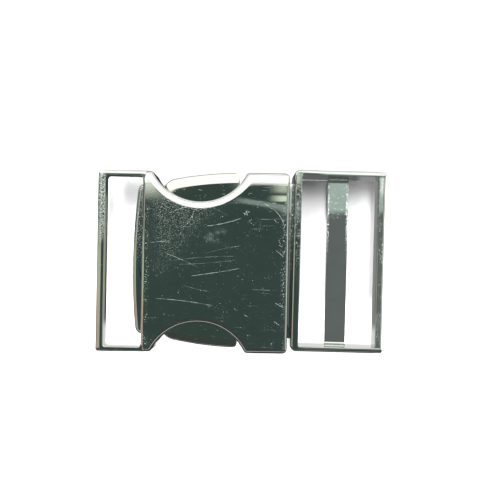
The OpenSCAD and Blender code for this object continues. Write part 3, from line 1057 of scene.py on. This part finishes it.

# Painted reflection on the paper past the buckle's west end: the west wall's colours, pale green in the
# middle, dark to the north and pinkish to the south.
painted_west_reflection = mix(sheet, north_of.step(5, 9), rgb(0.50, 0.52, 0.42), rgb(0.10, 0.11, 0.10))
painted_west_reflection = mix(sheet, north_of.step(-4, -8), painted_west_reflection, rgb(0.52, 0.42, 0.36))
# Painted shade and glow outside the buckle: the paper is dark to the south and close to the north side,
# as in shadow, and glows bright from 12 to 16 mm past the north side outwards. Past the west end it
# takes the painted west reflection, past the east end a painted grey.
painted_shade_outside = mix(sheet, north_of.step(HOUSING_HALF + 12, HOUSING_HALF + 16), rgb(0.06, 0.065, 0.06),
             rgb(1.5, 1.5, 1.45))
painted_shade_outside = mix(sheet, east_of.step(1, -1) * beside, painted_shade_outside, painted_west_reflection)
painted_shade_outside = mix(sheet, east_of.step(END_X - 1, END_X) * beside, painted_shade_outside, rgb(0.50, 0.51, 0.49))

# Painted shade on the paper inside the slots: darkest at the loop's west end and along its north side,
# grey-green in the rest of the loop slot, dark grey in the plug's slots and lighter by the far rail,
# with painted light, nearly white, along the south side.
painted_slot_shade = mix(sheet, east_of.step(BODY_X - 7, BODY_X - 6) * north_of.step(17, 14),
               rgb(0.05, 0.055, 0.05), rgb(0.40, 0.41, 0.33))
painted_slot_shade = mix(sheet, east_of.step(0, 1), painted_slot_shade, rgb(0.14, 0.15, 0.145))
painted_slot_shade = mix(sheet, east_of.step(END_X - 5, END_X - 3), painted_slot_shade, rgb(0.33, 0.34, 0.33))
painted_slot_shade = mix(sheet, north_of.step(-14, -17), painted_slot_shade, rgb(0.9, 0.9, 0.88))
print("mirrored paper:", len(sheet.nodes), "nodes")

# %% The paper's two looks
PAPER_HALF = 3000.0

white = mix(sheet, grain, rgb(0.88, 0.88, 0.88), rgb(0.92, 0.92, 0.92))
lit = node(sheet, "ShaderNodeBsdfDiffuse", None, {"Color": white})
# To mirror rays the paper is an emission of the painted light and shade above, which no lamp lights; to
# all other rays it is the lit white paper.
painted_glow_for_mirrors = node(sheet, "ShaderNodeEmission", None,
                 {"Color": mix(sheet, outside, painted_slot_shade, painted_shade_outside), "Strength": 1.0})
from_mirror = node(sheet, "ShaderNodeLightPath", None, None, "Is Glossy Ray")
end_material(sheet, node(sheet, "ShaderNodeMixShader", None, {0: from_mirror, 1: lit, 2: painted_glow_for_mirrors}))
stage_sheet("paper", np.array([(-1, -1, 0), (1, -1, 0), (1, 1, 0), (-1, 1, 0)]) * PAPER_HALF, paper)

bpy.context.scene.view_settings.view_transform = "Standard"
bpy.context.scene.view_settings.look = "None"
print("paper:", len(sheet.nodes), "nodes")

# %% [markdown]
# ## The plating
# Mirror nickel is a metal with very little roughness. Wear shows where the polish is broken: a
# scratch scatters the bright window into the dark mirror, so it is a place of high roughness. A
# broken grain or edge looks matt white, so there the metal gives way to a white scatter as well.
# Only the broader pits have a bump: the thin lines are finer than the light can tell.

# %% Plating materials
PLATING = rgb(0.62, 0.64, 0.62)
WING_PLATING = rgb(0.63, 0.64, 0.60)
STEEL = rgb(0.5, 0.5, 0.5)
WORN = rgb(0.80, 0.92, 0.91)
CLOUD_SHADE = 0.94
LINE_CORE = 0.3
LINE_TAPER = 0.08


class Finish:
    """A mirror-plated metal on which marks are laid one after another. A mark is a field that is 1
    where the polish is broken."""

    def __init__(self, name, base, smooth):
        self.material, self.tree = new_material(name)
        self.place = node(self.tree, "ShaderNodeTexCoord", None, None, 3)
        self.x, self.y, self.z = (part / MM for part in parts_of(self.tree, self.place))
        cloud = self.noise(0.16, 4)
        self.tone = mix(self.tree, cloud.step(0.35, 0.7), base, rgb(*(CLOUD_SHADE * np.array(base[:3]))))
        self.gloss = cloud.step(0.4, 0.75) * 0.02 + smooth
        self.height = self.noise(2.5, 2) * 0.02
        self.metal = 1.0

    def noise(self, per_mm, detail, stretch=None, turn=0):
        """Noise with so many features in a millimetre, stretched along a turned line if wanted."""
        spot = self.place
        if stretch:
            spot = node(self.tree, "ShaderNodeMapping", None,
                        {"Vector": spot, "Rotation": (0, 0, math.radians(turn)),
                         "Scale": (1 / stretch, 1, 1)})
        return node(self.tree, "ShaderNodeTexNoise", None,
                    {"Vector": spot, "Scale": per_mm / MM, "Detail": float(detail)})

    def within(self, x0, x1, y0, y1, soft):
        """1 inside a rectangle of the plan, with edges this soft."""
        return (self.x.step(x0, x0 + soft) * self.x.step(x1, x1 - soft)
                * self.y.step(y0, y0 + soft) * self.y.step(y1, y1 - soft))

    def line(self, start, end, width, bend=0.0):
        """A fine line from start to end, bowed sideways by bend in its middle, that fades from its
        core to its edges and towards both ends."""
        start, end = np.array(start), np.array(end)
        length = float(np.linalg.norm(end - start))
        u, v = ((end - start) / length).tolist()
        along = (self.x - float(start[0])) * u + (self.y - float(start[1])) * v
        share = along / length
        across = (self.y - float(start[1])) * u - (self.x - float(start[0])) * v
        off = abs(across - share * (1 - share) * (4 * bend))
        tapered = share.step(0, LINE_TAPER) * share.step(1, 1 - LINE_TAPER)
        return off.step(width, width * LINE_CORE) * tapered

    def lines(self, table, width):
        """The strongest of many fine lines, each with its own bend and strength."""
        strongest = None
        for start, end, bend, strength in table:
            field = self.line(start, end, width, bend) * strength
            strongest = field if strongest is None else strongest.max(field)
        return strongest

    def mark(self, field, roughness, depth=None, pale=1.0, scatter=None):
        """Breaks the polish where the field is 1: paler, rougher and, with a depth, sunk. With
        scatter it also looks matt white, by so much."""
        self.tone = mix(self.tree, field * pale, self.tone, WORN)
        self.gloss = self.gloss.max(field * roughness)
        if depth:
            self.height = self.height - field * depth
        if scatter:
            self.metal = self.metal - field * scatter

    def finish(self):
        """Ends the material and returns it."""
        bump = node(self.tree, "ShaderNodeBump", None,
                    {"Height": self.height, "Distance": 0.1 * MM, "Strength": 0.5})
        shader = node(self.tree, "ShaderNodeBsdfPrincipled", None,
                      {"Base Color": self.tone, "Metallic": self.metal, "Roughness": self.gloss,
                       "Normal": bump})
        end_material(self.tree, shader)
        return self.material


# %% Wear on the housing's face
housing = Finish("housing_mirror", PLATING, 0.03)
patchy = housing.noise(0.35, 3)
worn_off = housing.noise(0.7, 2).step(0.36, 0.6)
broken = housing.noise(2.6, 2).step(0.42, 0.55)
on_face = housing.z.step(FRONT_Z - 0.5, FRONT_Z - 0.3)

sandy = housing.within(-23.5, 3, -8, 17.5, soft=6) * patchy.step(0.15, 0.42)
sandy = sandy * (housing.x - housing.y * 0.7).step(-9.5, -18)
grains = housing.noise(3.8, 2)
housing.mark(grains.step(0.50, 0.66) * sandy, 0.19, depth=0.12, pale=0.25, scatter=0.02)
west_rim = housing.within(-22.3, -20.4, -20, 15, soft=0.8)
rims = west_rim.max(housing.within(8.8, 10.9, -16, 14, soft=1.0)) * patchy.step(0.3, 0.5)
housing.mark(grains.step(0.57, 0.64) * rims, 0.28, scatter=0.12)
dust = grains.step(0.685, 0.725) * patchy.step(0.36, 0.6)
housing.mark(dust * on_face, 0.28, scatter=0.2)
smudge = housing.within(-10.5, -1.2, 2.6, 8.8, soft=3.0) * housing.noise(0.4, 2).step(0.30, 0.62)
housing.mark(smudge * on_face, 0.26, pale=0.5)
print("grains, dust and smudge:", len(housing.tree.nodes), "nodes")

# %% Fine streaks
for turn, thick in ((9, 0.69), (-16, 0.70), (47, 0.71)):
    streaks = housing.noise(4.0, 1, stretch=40, turn=turn).step(thick, thick + 0.06)
    housing.mark(streaks * patchy.step(0.44, 0.60) * on_face, 0.26)
print("with streaks:", len(housing.tree.nodes), "nodes")

# %% [markdown]
# The long scratches are few enough to be placed one by one: each has a start, an end, a bend and a
# strength, in the plan's millimetres. The short nicks have a middle, a length and a turn. Noise
# breaks both up, because a real scratch catches the light only here and there.

# %% Hairlines and nicks
HAIRLINE_W = 0.075
HAIRLINES = [
    ((-8.0, 7.9), (0.3, 9.9), -0.3, 0.8), ((-20.6, 3.9), (-15.9, 4.3), 0.1, 0.7),
    ((-17.0, 1.6), (-9.6, -1.5), 0.15, 0.65), ((-11.4, -3.5), (0.2, -1.5), -0.1, 0.85),
    ((-19.4, -8.7), (-5.7, -10.2), 0.3, 0.85), ((5.0, 13.2), (9.8, 8.5), 0.8, 0.85),
    ((8.0, 2.6), (9.9, 1.1), 0.1, 0.7), ((8.0, -9.2), (9.9, -10.3), 0.0, 0.85),
    ((7.9, -13.4), (9.1, -14.3), 0.0, 0.85), ((-8.2, 1.6), (0.3, 3.6), 0.2, 0.5),
    ((-16.5, 10.6), (-10.4, 12.7), 0.2, 0.7), ((-17.5, -0.3), (-0.5, 1.2), 0.3, 0.45),
    ((-13.0, -5.6), (-7.0, -6.9), -0.1, 0.55), ((2.7, -6.3), (7.0, -6.4), 0.0, 0.6),
    ((-10.0, 12.5), (-13.5, 6.5), 0.2, 0.5), ((-14.2, -0.9), (-0.5, 0.4), -0.2, 0.45),
    ((-6.5, 12.0), (-3.0, 10.2), 0.2, 0.5), ((3.0, 9.8), (9.5, 9.9), -0.2, 0.5),
]
NICK_W, NICK_BEND, NICK_STRENGTH = 0.08, 0.06, 0.8
NICKS = [(1.2, 11.1, 1.7, 0.25), (1.1, 11.0, 1.5, 1.1), (1.3, 11.2, 1.2, 1.9), (1.0, 10.8, 1.3, 2.7),
         (2.0, 9.2, 1.3, 0.7), (2.1, 9.0, 1.1, 2.3), (1.8, 9.0, 0.8, 3.0), (3.0, 8.4, 0.7, 0.5),
         (7.9, 9.3, 1.2, 2.2), (8.3, 8.9, 0.7, 0.4), (7.3, 13.3, 1.1, 0.1), (8.8, 4.8, 1.4, 1.8),
         (9.1, 3.7, 0.9, 2.7), (-4.3, 10.0, 0.9, 0.4), (-0.9, -10.8, 0.7, 2.2),
         (1.5, -12.2, 0.9, 2.7), (-13.9, -7.3, 0.4, 1.1)]
nick_lines = []
for x, y, size, turn in NICKS:
    reach = np.array([math.cos(turn), math.sin(turn)]) * size / 2
    nick_lines.append(((x, y) - reach, (x, y) + reach, NICK_BEND, NICK_STRENGTH))
hairs = housing.lines(HAIRLINES, HAIRLINE_W) * (worn_off * 0.6 + 0.5)
nicks = housing.lines(nick_lines, NICK_W) * (broken * 0.7 + 0.3)
housing.mark(hairs.max(nicks) * on_face, 0.5, scatter=0.13)
print(len(HAIRLINES), "hairlines and", len(NICKS), "nicks")

# %% [markdown]
# The loop's end, the frame's near rail and the far rail are pitted towards one end. The bar's upper
# part has sparkling edges: there the plating has gone and the cast grain shows.

# %% Wear on the loop, the frame and the bar
loop_wear = housing.x.step(BODY_X - 8, BODY_X - 9) * housing.y.step(2, 9)
housing.mark(grains.step(0.48, 0.56) * loop_wear, 0.22, depth=0.5)

plug = Finish("plug_mirror", PLATING, 0.03)
pits = plug.noise(3.4, 2)
near_wear = plug.x.step(FRAME_X + 2.5, FRAME_X + 1.8) * plug.y.step(-6, 12)
plug.mark(pits.step(0.60, 0.66) * near_wear, 0.2, depth=0.4, pale=0.5, scatter=0.2)
far_wear = plug.x.step(END_X - 1.8, END_X - 1.2) * plug.noise(0.5, 2).step(0.4, 0.6)
plug.mark(pits.step(0.60, 0.66) * far_wear, 0.22, depth=0.5, scatter=0.3)

BAR_MIDDLE = BAR_X + BAR_W / 2
BAR_WORN_TO = 18.6
bar_edge = abs(abs(plug.x - BAR_MIDDLE) - (BAR_W / 2 - 0.15)).step(0.34, 0.2)
bar_edge = bar_edge * plug.y.step(-2, 12) * plug.y.step(BAR_WORN_TO, BAR_WORN_TO - 0.4)
plug.mark(bar_edge * pits.step(0.53, 0.56), 0.3, depth=0.3, scatter=1.0)
bar_top = plug.within(BAR_X, BAR_X + BAR_W, 10.2, BAR_WORN_TO, soft=0.6)
plug.mark(pits.step(0.68, 0.71) * bar_top, 0.3, depth=0.3, scatter=0.8)
print("plug finish:", len(plug.tree.nodes), "nodes")

# %% Wings and pins
wing = Finish("wing_mirror", WING_PLATING, 0.04)
wing.mark(wing.noise(3.5, 2, stretch=5, turn=5).step(0.64, 0.72), 0.25, depth=0.05)
pin = Finish("pin_steel", STEEL, 0.25)
housing_finish, plug_finish = housing.finish(), plug.finish()
wing_finish, pin_finish = wing.finish(), pin.finish()
print("finishes:", housing_finish.name, plug_finish.name, wing_finish.name, pin_finish.name)

# %% [markdown]
# ## The pieces
# Each casting is one piece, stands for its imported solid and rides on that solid's body, so the
# wings swing with their joints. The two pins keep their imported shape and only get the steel.

# %% The pieces
make_piece("housing_casting", [front_plate, back_plate, *walls, strap_loop],
           "buckle", "housing", housing_finish)
make_piece("plug_casting", [bent_rail, far_rail, strap_bar, neck, stem, nose, arms],
           "buckle", "plug", plug_finish)
for side, shell in (("upper", upper_wing), ("lower", lower_wing)):
    make_piece(f"wing_{side}_casting", [shell], f"{side}_wing", f"wing_{side}",
               wing_finish)
for name in ("pivot_pin_upper", "pivot_pin_lower"):
    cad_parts[name].data.materials.clear()
    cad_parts[name].data.materials.append(pin_finish)
